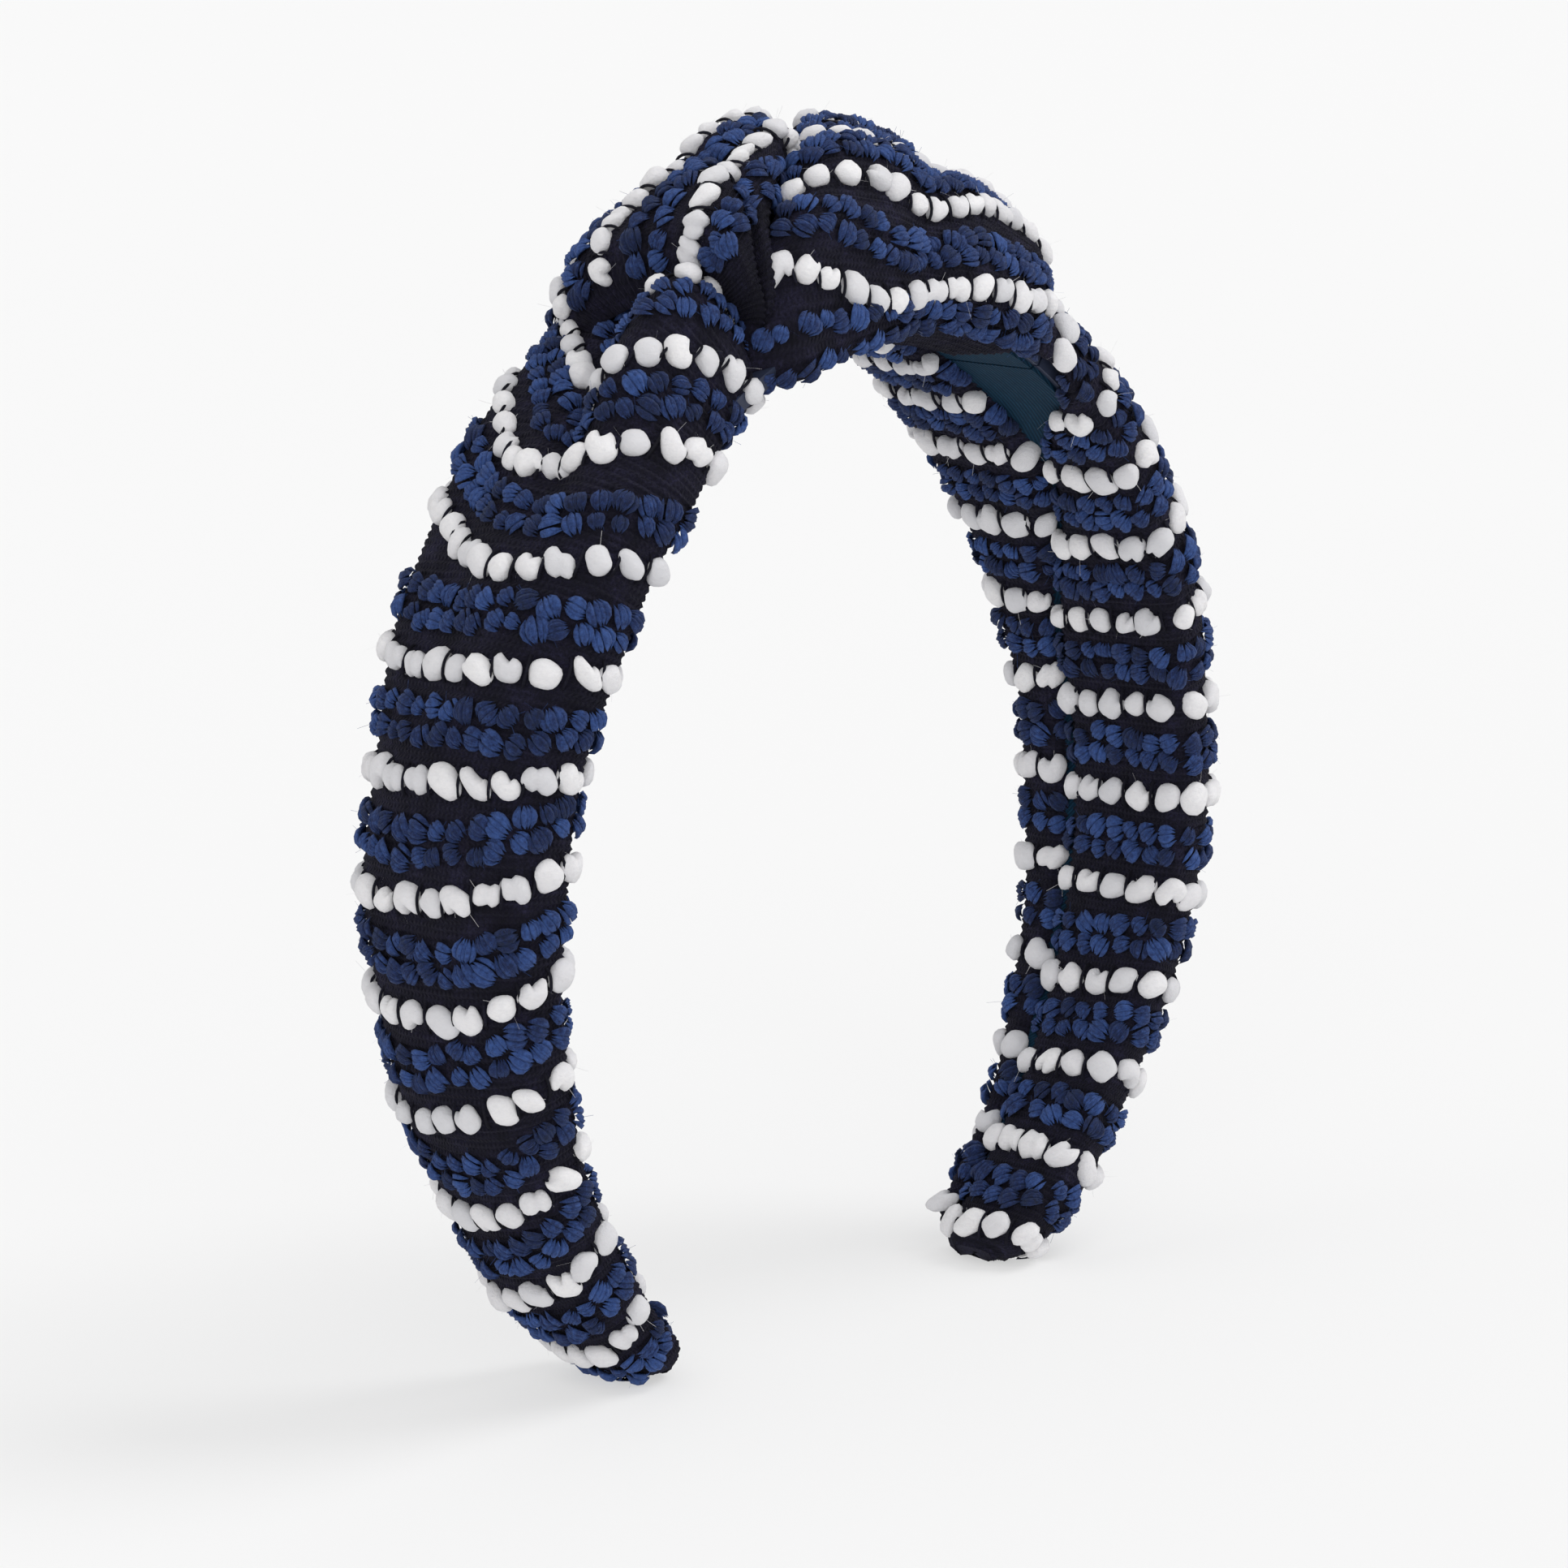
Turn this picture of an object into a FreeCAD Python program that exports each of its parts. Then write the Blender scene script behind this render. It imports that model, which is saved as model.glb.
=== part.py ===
"""Knotted headband: a springy horseshoe core, padded, wrapped in a slubby striped cloth and
tied at the crown by two interlocked loops of that cloth.

Frame: millimetres, +X to the wearer's left and right, +Y to the back, +Z up. The band stands on
its two tips on the plane Z = 0, and the origin is below the knot, midway between the tips.

Every cross-section is placed by its distance along the core's mid-plane, from a tip (0) over the
crown to the other tip. "Rise" is measured outward from that mid-plane, so a negative rise is
towards the head.
"""
import FreeCAD, Part
import math
import os

DOC = FreeCAD.newDocument("knotted_headband")
V = FreeCAD.Vector

# ---------------------------------------------------------------- driving dimensions

DIMENSIONS = {
    # the core's line: a tight arc over the head, running into a flatter arc down each side
    "half_width": 65.0,
    "crown_radius": 58.0,
    "side_radius": 81.0,
    "side_centre_height": 65.3,
    "side_sweep": 50.0,
    # the moulded core and the ribbon that lines it
    "core_thickness": 2.2,
    "core_width_tip": 10.0,
    "core_width_crown": 36.0,
    "core_end": 0.5,
    "lining_thickness": 0.6,
    "lining_width_crown": 34.0,
    "lining_width_tip": 9.0,
    # the padded band, over its cloth
    "band_width_tip": 18.0,
    "band_width_crown": 42.5,
    "band_rise_tip": 4.6,
    "band_rise_crown": 14.0,
    "band_inner_rise": 3.6,
    "cloth_thickness": 1.8,
    "pad_clearance": 0.3,
    "edge_gap": 0.5,
    "opening_half_length": 47.0,
    "opening_half_width": 13.0,
    "slit_start": 9.0,
    # yarn rows on the cloth
    "row_pitch": 13.7,
    "first_row_left": 8.5,
    "first_row_right": 0.5,
    "white_row_width": 3.4,
    "white_row_rise": 1.3,
    "blue_row_width": 2.6,
    "blue_row_rise": 1.0,
    "blue_row_spacing": 3.2,
    # the flexing shoulders
    "hinge_angle": 33.0,
    "hinge_gap": 0.35,
    "flex_open": 10.0,
    "flex_close": 3.0,
    # the knot
    "loop_half_width": 11.0,
    "strand_half_width": 9.0,
    "loop_half_thickness": 8.5,
    "crossing_half_width": 15.0,
    "crossing_half_thickness": 7.5,
    "wadding_clearance": 0.4,
    "stitch_diameter": 0.9,
    "stitch_length": 6.0,
    "stitch_x": 12.0,
    "stitch_y": 15.0,
}

sheet = DOC.addObject("Spreadsheet::Sheet", "Dimensions")
for row, (alias, value) in enumerate(DIMENSIONS.items(), start=1):
    sheet.set(f"A{row}", alias)
    sheet.set(f"B{row}", str(value))
    sheet.setAlias(f"B{row}", alias)
DOC.recompute()


def dim(alias):
    """The value of one cell of the sheet."""
    return float(sheet.get(alias))


SIDE_OFFSET = dim("side_radius") - dim("half_width")
JOIN_ANGLE = math.acos(SIDE_OFFSET / (dim("side_radius") - dim("crown_radius")))
CROWN_CENTRE = dim("side_centre_height") + SIDE_OFFSET * math.tan(JOIN_ANGLE)
SIDE_ARC = dim("side_radius") * (math.radians(dim("side_sweep")) + JOIN_ANGLE)
HALF_ARC = SIDE_ARC + dim("crown_radius") * (math.pi / 2 - JOIN_ANGLE)
FAR = 200.0  # longer than anything in the model


# ---------------------------------------------------------------- the core's line

def at(distance, rise=0.0):
    """The point and the tangent, in XZ, at a distance along the mid-plane from the left tip."""
    mirrored = distance > HALF_ARC
    from_tip = 2 * HALF_ARC - distance if mirrored else distance
    if from_tip >= SIDE_ARC:
        radius, centre = dim("crown_radius"), V(0, 0, CROWN_CENTRE)
        angle = JOIN_ANGLE + (from_tip - SIDE_ARC) / radius
    else:
        radius, centre = dim("side_radius"), V(SIDE_OFFSET, 0, dim("side_centre_height"))
        angle = from_tip / radius - math.radians(dim("side_sweep"))
    reach = radius + rise
    point = centre + V(-reach * math.cos(angle), 0, reach * math.sin(angle))
    tangent = V(math.sin(angle), 0, math.cos(angle))
    if mirrored:
        return V(-point.x, 0, point.z), V(tangent.x, 0, -tangent.z)
    return point, tangent


def fullness(distance):
    """0 at a tip and 1 at the crown, easing in."""
    share = min(1.0, max(0.0, 1 - abs(distance - HALF_ARC) / HALF_ARC))
    return math.sin(math.pi / 2 * share)


def across(point, tangent, width_axis=V(0, 1, 0)):
    """The placement of a section: its X axis along width_axis, its Z axis along the tangent."""
    rise_axis = tangent.cross(width_axis)
    rotation = FreeCAD.Rotation(width_axis, rise_axis, tangent, "ZXY")
    return FreeCAD.Placement(point, rotation)


# ---------------------------------------------------------------- small builders

def add(kind, label, **properties):
    """A document object with plain properties and, for text that names the sheet, expressions."""
    made = DOC.addObject(kind, label)
    made.Label = label
    for name, value in properties.items():
        if isinstance(value, str) and "Dimensions." in value:
            made.setExpression(name, value)
        else:
            setattr(made, name, value)
    return made


def ellipse(label, placement, width, rise):
    """One section: half its width and half its height, each an expression."""
    return add("Part::Ellipse", label, Placement=placement, MajorRadius=width, MinorRadius=rise)


def loft(label, sections):
    return add("Part::Loft", label, Sections=sections, Solid=True, Ruled=False)


def cut(label, base, tool):
    return add("Part::Cut", label, Base=base, Tool=tool)


def common(label, base, tool):
    return add("Part::Common", label, Base=base, Tool=tool)


def fuse(label, shapes):
    return add("Part::MultiFuse", label, Shapes=shapes)


def group(label, shapes):
    return add("Part::Compound", label, Links=shapes)


def prism(label, corners):
    """A prism right through the band, from its outline in XZ."""
    outline = add("Part::Polygon", label + "_outline", Nodes=[V(x, -FAR / 2, z) for x, z in corners],
                  Close=True)
    return add("Part::Extrusion", label, Base=outline, Dir=V(0, 1, 0), DirMode="Custom",
               LengthFwd=FAR, Solid=True)


STATIONS = (0.0, 8.0, 20.0, 38.0, 60.0, 85.0, 112.0, 142.0)
NOSE = 3.4  # how far the cloth's rounded end reaches past the tip
HOLLOW_NOSE = 1.3
PAD_NOSE = 1.0
NOSE_SHARE = 0.55  # the end section's size over the tip's
RISE_POWER = 0.45  # the band thickens quickly from the tips, then slowly


def band_form(label, width_less, rise_less, nose=NOSE):
    """The whole padded band as an elliptical loft, made smaller by width_less and rise_less."""
    both = [*STATIONS, HALF_ARC, *[2 * HALF_ARC - s for s in reversed(STATIONS)]]
    stations = [(-nose, NOSE_SHARE), *[(s, 1.0) for s in both],
                (2 * HALF_ARC + nose, NOSE_SHARE)]
    sections = []
    for number, (distance, share) in enumerate(stations):
        full = fullness(distance)
        point, tangent = at(distance)
        width = ("(Dimensions.band_width_tip + (Dimensions.band_width_crown"
                 f" - Dimensions.band_width_tip) * {full:.5f}) / 2")
        rise = ("Dimensions.band_rise_tip + (Dimensions.band_rise_crown"
                f" - Dimensions.band_rise_tip) * {full ** RISE_POWER:.5f}")
        sections.append(ellipse(f"{label}_{number}", across(point, tangent),
                                f"({width} - ({width_less})) * {share}",
                                f"({rise} - ({rise_less})) * {share}"))
    return loft(label, sections)


def taper(label, tip_width, crown_width):
    """A block that narrows downwards: it trims a strip of the core's line to its widths."""
    block = add("Part::Wedge", label, Xmin=-FAR, Xmax=FAR, X2min=-FAR, X2max=FAR,
                Zmin=f"-({tip_width}) / 2", Zmax=f"({tip_width}) / 2",
                Z2min=f"-({crown_width}) / 2", Z2max=f"({crown_width}) / 2",
                Ymin=0, Ymax=at(HALF_ARC, 5.0)[0].z)
    base = at(dim("core_end"))[0]
    block.Placement = FreeCAD.Placement(V(0, 0, base.z), FreeCAD.Rotation(V(1, 0, 0), 90))
    return block


def arc_sector(label, centre, radius, start, end):
    """A pie slice about an axis along Y: start and end in degrees, counted up from +X to +Z."""
    turn = FreeCAD.Rotation(V(0, -1, 0), start) * FreeCAD.Rotation(V(1, 0, 0), 90)
    return add("Part::Cylinder", label, Radius=radius, Height=FAR, Angle=end - start,
               Placement=FreeCAD.Placement(centre + V(0, FAR / 2, 0), turn))


def inside_of(label, rise):
    """Everything inside the core's line moved out by rise, as one solid."""
    spare = 8.0  # degrees past each tip, so that the rounded ends are cut too
    low, join = -dim("side_sweep") - spare, math.degrees(JOIN_ANGLE)
    height = dim("side_centre_height")
    crown, side = f"Dimensions.crown_radius + ({rise})", f"Dimensions.side_radius + ({rise})"
    return fuse(label, [
        arc_sector(f"{label}_crown", V(0, 0, CROWN_CENTRE), crown, join, 180 - join),
        arc_sector(f"{label}_right", V(-SIDE_OFFSET, 0, height), side, low, join),
        arc_sector(f"{label}_left", V(SIDE_OFFSET, 0, height), side, 180 - join, 180 - low),
    ])


def slab(label, low, high):
    """The layer between two rises."""
    return cut(label, inside_of(f"{label}_outer", high), inside_of(f"{label}_inner", low))


# ---------------------------------------------------------------- the three rigid spans

SPARE_TURN = 1.0  # degrees of clearance past each end of the flexing
SPAN_INWARD = 55.0  # how far the spans reach inside the core, short of the crown's centre


def hinge(side):
    """The shoulder's pivot: side is -1 for the left and 1 for the right."""
    angle = math.radians(dim("hinge_angle"))
    radius = dim("crown_radius")
    return V(side * radius * math.sin(angle), 0,
             CROWN_CENTRE + radius * math.cos(angle))


def ray(side, tilt, reach, shift):
    """A point reach away from the pivot, along the shoulder's radius turned by tilt degrees
    towards the leg. shift moves it along the band, towards the leg."""
    angle = math.radians(dim("hinge_angle"))
    turned = angle + math.radians(tilt)
    start = hinge(side)
    return (start.x + side * (reach * math.sin(turned) + shift * math.cos(angle)),
            start.z + reach * math.cos(turned) - shift * math.sin(angle))


def spans():
    """The crown, the two legs and the crown's two halves as prisms, with the wedge between the
    crown and each leg that flexing needs."""
    gap, inward = dim("hinge_gap"), SPAN_INWARD
    opening, closing = dim("flex_open") + SPARE_TURN, dim("flex_close") + SPARE_TURN
    crown = prism("crown_span", [
        ray(-1, 0, -inward, 0), ray(-1, 0, FAR, 0), (0, FAR * 2),
        ray(1, 0, FAR, 0), ray(1, 0, -inward, 0),
    ])
    legs, halves = [], []
    for name, side in (("left", -1), ("right", 1)):
        halves.append(prism(f"crown_{name}_span", [
            (0, ray(side, 0, -inward, 0)[1]), ray(side, 0, -inward, 0), ray(side, 0, FAR, 0),
            (0, FAR * 2),
        ]))
        legs.append(prism(f"{name}_span", [
            ray(side, 0, 0, gap), ray(side, opening, FAR, gap), (side * FAR, 0), (side, 0),
            ray(side, -closing, -inward, gap),
        ]))
    return crown, *legs, *halves


crown_span, left_span, right_span, crown_left_span, crown_right_span = spans()
parts = {}


def keep(node, shape):
    """Names a finished sub-part."""
    shape.Label = node
    parts[node] = shape


def in_spans(name, shape, crown_name=None):
    """Cuts one layer of the band into its crown and leg spans."""
    if crown_name:
        keep(crown_name, common(f"{name}_over_crown", shape, crown_span))
    keep(f"{name}_left", common(f"{name}_on_left", shape, left_span))
    keep(f"{name}_right", common(f"{name}_on_right", shape, right_span))


# ---------------------------------------------------------------- core, lining and pad

HALF_CORE = "Dimensions.core_thickness / 2"
CLOTH = "Dimensions.cloth_thickness"
LINING_RISE = f"-({HALF_CORE}) - Dimensions.lining_thickness"


def core():
    strip = slab("core_layer", f"-({HALF_CORE})", HALF_CORE)
    trim = taper("core_taper", "Dimensions.core_width_tip", "Dimensions.core_width_crown")
    in_spans("core", common("core_whole", strip, trim), "core_crown")


def lining():
    strip = slab("lining_layer", LINING_RISE, f"-({HALF_CORE})")
    trim = taper("lining_taper", "Dimensions.lining_width_tip", "Dimensions.lining_width_crown")
    in_spans("lining", common("lining_whole", strip, trim), "lining_crown")


def pad():
    less = f"{CLOTH} + Dimensions.pad_clearance"
    form = band_form("pad_form", less, less, nose=PAD_NOSE)
    in_spans("foam", cut("foam_whole", form, inside_of("foam_floor", HALF_CORE)), "foam_crown")


# ---------------------------------------------------------------- cloth round the band

def band_skin(label, grow):
    """The band's outer form, grown outward and inward, and flat where it faces the head."""
    form = band_form(f"{label}_form", f"-({grow})", f"-({grow})")
    return cut(label, form, inside_of(f"{label}_floor", f"-Dimensions.band_inner_rise - ({grow})"))


def lining_window():
    """Where the two edges of the cloth part at the crown and leave the lining bare, and the slit
    between them down each leg."""
    rim = add("Part::Ellipse", "window_rim", MajorRadius="Dimensions.opening_half_length",
              MinorRadius="Dimensions.opening_half_width",
              Placement=FreeCAD.Placement(V(0, 0, 0), FreeCAD.Rotation()))
    window = add("Part::Extrusion", "window_prism", Base=rim, Dir=V(0, 0, 1), DirMode="Custom",
                 LengthFwd=FAR, Solid=True)
    slit = add("Part::Box", "slit_box", Length=FAR, Width="Dimensions.edge_gap", Height=FAR)
    corner = V(-FAR / 2, -dim("edge_gap") / 2, dim("slit_start"))
    slit.Placement = FreeCAD.Placement(corner, FreeCAD.Rotation())
    return common("lining_window", fuse("window_and_slit", [window, slit]),
                  inside_of("window_depth", LINING_RISE))


def hollow():
    """The space in the cloth for the pad, the core and the lining."""
    form = band_form("hollow_form", CLOTH, CLOTH, nose=HOLLOW_NOSE)
    return cut("hollow", form, inside_of("hollow_floor", LINING_RISE))


band_outside = band_skin("band_outside", "0")


def cloth_over(label, span, inside, window):
    """The wrapped cloth within one span."""
    solid = common(f"{label}_solid", band_outside, span)
    return cut(f"{label}_cloth", cut(f"{label}_shell", solid, inside), window)


def cloth():
    """The cloth of both legs, and its two halves under the knot."""
    inside, window = hollow(), lining_window()
    keep("cloth_left", cloth_over("left", left_span, inside, window))
    keep("cloth_right", cloth_over("right", right_span, inside, window))
    return [cloth_over(f"under_{name}", span, inside, window)
            for name, span in (("left", crown_left_span), ("right", crown_right_span))]


# ---------------------------------------------------------------- rows of yarn on the legs

SLICE = 60.0  # wider than the band anywhere
ROWS = {"left": 10, "right": 11}
BLUE_PAIRS = 10
WHITE_WIDTH, WHITE_RISE = "Dimensions.white_row_width", "Dimensions.white_row_rise"
BLUE_WIDTH, BLUE_RISE = "Dimensions.blue_row_width", "Dimensions.blue_row_rise"


def slices(label, places, width):
    """Flat slabs across the band, one at each place, as wide as a row."""
    boxes = []
    for number, (point, tangent) in enumerate(places):
        box = add("Part::Box", f"{label}_{number}", Length=SLICE, Width=SLICE, Height=width)
        middle = V(-SLICE / 2, -SLICE / 2, -dim(width.split(".")[1]) / 2)
        box.Placement = across(point, tangent) * FreeCAD.Placement(middle, FreeCAD.Rotation())
        boxes.append(box)
    return group(f"{label}_slices", boxes)


def leg_rows(node, span, distances, width, rise):
    """Rings of yarn round one leg at those distances, lying on its cloth."""
    cuts = common(f"{node}_in_span", slices(node, [at(d) for d in distances], width), span)
    rings = common(f"{node}_rings", cuts, band_skin(f"{node}_skin", rise))
    keep(node, cut(f"{node}_on_cloth", rings, band_outside))


def yarn_rows():
    """White rows at one pitch from each leg's own start, and a pair of blue rows between them."""
    pitch, spread = dim("row_pitch"), dim("blue_row_spacing") / 2
    for name, span, first in (("left", left_span, dim("first_row_left")),
                              ("right", right_span, dim("first_row_right"))):
        white = [first + pitch * n for n in range(ROWS[name])]
        blue = [d + pitch / 2 + shift for d in white[:BLUE_PAIRS] for shift in (-spread, spread)]
        if name == "right":
            white = [2 * HALF_ARC - d for d in white]
            blue = [2 * HALF_ARC - d for d in blue]
        leg_rows(f"white_rows_{name}", span, white, WHITE_WIDTH, WHITE_RISE)
        leg_rows(f"blue_rows_{name}", span, blue, BLUE_WIDTH, BLUE_RISE)


# ---------------------------------------------------------------- the knot

def over_crown(x, rise):
    """A point over the crown at that X, rise above the mid-plane."""
    reach = dim("crown_radius") + rise
    return CROWN_CENTRE + math.sqrt(reach * reach - x * x)


# The left cloth's loop lies flat: it runs in along the front of the band, turns round the
# crossing cloth on the right and runs back along the rear. Each entry is x, y, height over the
# mid-plane, and the share of the way from strand to full loop, in width and in thickness.
LOOP_FRONT = ((-46.0, -11.5, 8.0, 0.0, 0.6), (-28.0, -12.5, 11.0, 0.2, 0.85),
              (-7.0, -14.0, 15.0, 0.6, 1.0), (15.0, -14.5, 16.0, 0.9, 1.0),
              (33.0, -11.0, 13.0, 1.0, 0.95))
LOOP_TURN = (42.0, 0.0, 10.5, 1.0, 0.85)


def flat_loop(label, less):
    """The lying loop, made smaller all round by less."""
    back = [(x, -y, h, w, t) for x, y, h, w, t in reversed(LOOP_FRONT)]
    line = [*LOOP_FRONT, LOOP_TURN, *back]
    points = [V(x, y, over_crown(x, h)) for x, y, h, _, _ in line]
    sections = []
    for number, (entry, point) in enumerate(zip(line, points)):
        before, after = points[max(0, number - 1)], points[min(len(points) - 1, number + 1)]
        tangent = (after - before).normalize()
        up = V(point.x, 0, point.z - CROWN_CENTRE).normalize()
        width_axis = up.cross(tangent).normalize()
        width = ("Dimensions.strand_half_width + (Dimensions.loop_half_width"
                 f" - Dimensions.strand_half_width) * {entry[3]} - ({less})")
        rise = f"Dimensions.loop_half_thickness * {entry[4]} - ({less})"
        sections.append(ellipse(f"{label}_{number}", across(point, tangent, width_axis),
                                width, rise))
    return loft(label, sections)


# The right cloth crosses over: it comes up through the lying loop, arches to the left and goes
# down between the loop's two strands. Each entry is x, height over the mid-plane and shares.
CROSSING = ((15.0, 10.0, 0.75, 0.7), (8.0, 19.5, 0.9, 0.9), (-4.0, 26.0, 1.0, 1.0),
            (-16.0, 20.0, 0.9, 0.9), (-22.0, 9.0, 0.7, 0.7))
CROSSING_Y = 1.5


def crossing_loop(label, less):
    """The arch of the crossing cloth, made smaller all round by less."""
    points = [V(x, CROSSING_Y, over_crown(x, h)) for x, h, _, _ in CROSSING]
    sections = []
    for number, (entry, point) in enumerate(zip(CROSSING, points)):
        before, after = points[max(0, number - 1)], points[min(len(points) - 1, number + 1)]
        tangent = (after - before).normalize()
        sections.append(ellipse(f"{label}_{number}", across(point, tangent),
                                f"Dimensions.crossing_half_width * {entry[2]} - ({less})",
                                f"Dimensions.crossing_half_thickness * {entry[3]} - ({less})"))
    return loft(label, sections)


def knot_rows(label, numbers, shift, width, rise):
    """Rings of yarn round the crossing loop, at its sections of those numbers, moved along it."""
    points = [V(x, CROSSING_Y, over_crown(x, h)) for x, h, _, _ in CROSSING]
    places = []
    for number in numbers:
        tangent = (points[number + 1] - points[number - 1]).normalize()
        places.append((points[number] + tangent * shift, tangent))
    rings = common(f"{label}_rings", slices(label, places, width),
                   crossing_loop(f"{label}_skin", f"-({rise})"))
    on_loop = cut(f"{label}_on_loop", rings, crossing_loop(f"{label}_loop", "0"))
    return cut(f"{label}_on_band", on_loop, band_outside)


def knot(cloth_left, cloth_right):
    """The two loops, each a cloth skin over its wadding, on the cloth that lies under them."""
    crossing = cut("crossing_on_band", crossing_loop("crossing", "0"), band_outside)
    bed = inside_of("wadding_bed", "Dimensions.band_rise_crown + Dimensions.wadding_clearance")
    crossing_core = cut("crossing_wadding", crossing_loop("crossing_inside", CLOTH), bed)
    lying = common("lying_in_span", cut("lying_on_band", flat_loop("lying", "0"), band_outside),
                   crown_span)
    lying_core = common("lying_wadding",
                        cut("lying_wadding_long", flat_loop("lying_inside", CLOTH), bed),
                        crown_span)
    keep("white_rows_knot", knot_rows("white_knot", (1, 3), 0, WHITE_WIDTH, WHITE_RISE))
    spread = dim("blue_row_spacing") / 2
    keep("blue_rows_knot", group("blue_knot_pair", [
        knot_rows("blue_knot_first", (2,), -spread, BLUE_WIDTH, BLUE_RISE),
        knot_rows("blue_knot_second", (2,), spread, BLUE_WIDTH, BLUE_RISE)]))
    keep("wadding_crossing", crossing_core)
    keep("wadding_lying", lying_core)
    keep("cloth_loop_left", group("left_knot_cloth",
                                  [cloth_left, cut("lying_skin", lying, lying_core)]))
    keep("cloth_loop_right", group("right_knot_cloth",
                                   [cloth_right, cut("crossing_skin", crossing, crossing_core)]))


def stitches():
    """Short bars of thread that tack the knot to the cloth's turned-in edges."""
    half_length = dim("stitch_length") / 2
    rise = -dim("band_inner_rise") - dim("stitch_diameter") / 2
    height = over_crown(dim("stitch_x") + half_length, rise)
    bars = []
    for number, (across_x, across_y) in enumerate(((-1, -1), (1, -1), (-1, 1), (1, 1))):
        bar = add("Part::Cylinder", f"stitch_{number}", Radius="Dimensions.stitch_diameter / 2",
                  Height="Dimensions.stitch_length")
        start = V(across_x * dim("stitch_x") - half_length, across_y * dim("stitch_y"), height)
        bar.Placement = FreeCAD.Placement(start, FreeCAD.Rotation(V(0, 1, 0), 90))
        bars.append(bar)
    keep("tack_stitches", group("tack_bars", bars))


# ---------------------------------------------------------------- build, check and export

def main():
    core()
    lining()
    pad()
    knot(*cloth())
    yarn_rows()
    stitches()
    DOC.recompute()
    for item in DOC.Objects:
        if "Invalid" in item.State or "Error" in item.State:
            raise SystemExit(f"{item.Name} failed: {item.State}")
    os.makedirs("parts", exist_ok=True)
    for node, item in parts.items():
        shape = item.Shape
        if shape.isNull() or not shape.isValid() or not shape.Solids:
            raise SystemExit(f"{node} has no valid shape")
        shape.exportStep(f"parts/{node}.step")
        box = shape.BoundBox
        print(f"{node}: {len(shape.Solids)} solids, {shape.Volume:.0f} mm3, "
              f"x {box.XMin:.1f} {box.XMax:.1f} y {box.YMin:.1f} {box.YMax:.1f} "
              f"z {box.ZMin:.2f} {box.ZMax:.1f}")


main()
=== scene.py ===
"""Looks of the knotted headband: the slubby cloth, its rows of beads, the knot and the lining.

Lengths in the shape functions are millimetres in the frame's own axes: X between the tips, Y to
the back, Z up from the tips. Meshes are scaled to metres as they are made.
"""
import bpy
import numpy as np
from mathutils import Matrix, Vector


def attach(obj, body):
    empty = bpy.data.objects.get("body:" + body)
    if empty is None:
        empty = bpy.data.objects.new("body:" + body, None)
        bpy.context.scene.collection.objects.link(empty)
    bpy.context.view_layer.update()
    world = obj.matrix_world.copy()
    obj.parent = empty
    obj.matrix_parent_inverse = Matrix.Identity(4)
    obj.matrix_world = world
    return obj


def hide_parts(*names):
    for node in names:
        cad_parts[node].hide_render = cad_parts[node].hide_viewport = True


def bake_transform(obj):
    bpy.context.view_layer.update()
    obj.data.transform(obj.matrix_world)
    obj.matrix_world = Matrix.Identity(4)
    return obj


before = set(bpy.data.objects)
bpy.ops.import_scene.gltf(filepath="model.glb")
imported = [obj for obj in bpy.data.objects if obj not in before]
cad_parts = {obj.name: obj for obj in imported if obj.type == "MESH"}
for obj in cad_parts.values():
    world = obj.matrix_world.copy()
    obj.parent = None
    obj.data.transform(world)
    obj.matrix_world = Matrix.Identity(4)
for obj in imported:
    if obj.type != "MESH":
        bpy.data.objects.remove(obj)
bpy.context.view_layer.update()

MM = 0.001
TAU = 2 * np.pi

# ---------------------------------------------------------------- the core's line

HALF_WIDTH = 65.0
CROWN_RADIUS = 58.0
SIDE_RADIUS = 81.0
SIDE_CENTRE = 65.3
SIDE_SWEEP = np.radians(50)
SIDE_OFFSET = SIDE_RADIUS - HALF_WIDTH
JOIN = np.arccos(SIDE_OFFSET / (SIDE_RADIUS - CROWN_RADIUS))
CROWN_CENTRE = SIDE_CENTRE + SIDE_OFFSET * np.tan(JOIN)
SIDE_ARC = SIDE_RADIUS * (SIDE_SWEEP + JOIN)
HALF_ARC = SIDE_ARC + CROWN_RADIUS * (np.pi / 2 - JOIN)


def on_line(distance, rise):
    """X and Z at a distance from the left tip, raised outward; distance may pass the crown."""
    on_crown = distance >= SIDE_ARC
    radius = np.where(on_crown, CROWN_RADIUS, SIDE_RADIUS)
    angle = np.where(on_crown, JOIN + (distance - SIDE_ARC) / CROWN_RADIUS,
                     distance / SIDE_RADIUS - SIDE_SWEEP)
    centre_x = np.where(on_crown, 0.0, SIDE_OFFSET)
    centre_z = np.where(on_crown, CROWN_CENTRE, SIDE_CENTRE)
    reach = radius + rise
    return centre_x - reach * np.cos(angle), centre_z + reach * np.sin(angle)


def hump(value, centre, spread):
    """A smooth bump of height 1 at centre."""
    return np.exp(-(((value - centre) / spread) ** 2))


def ease(value, low, high):
    """0 below low, 1 above high and a smooth step between."""
    share = np.clip((value - low) / (high - low), 0, 1)
    return share * share * (3 - 2 * share)


# ---------------------------------------------------------------- surfaces: f(u, v) -> points

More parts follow.
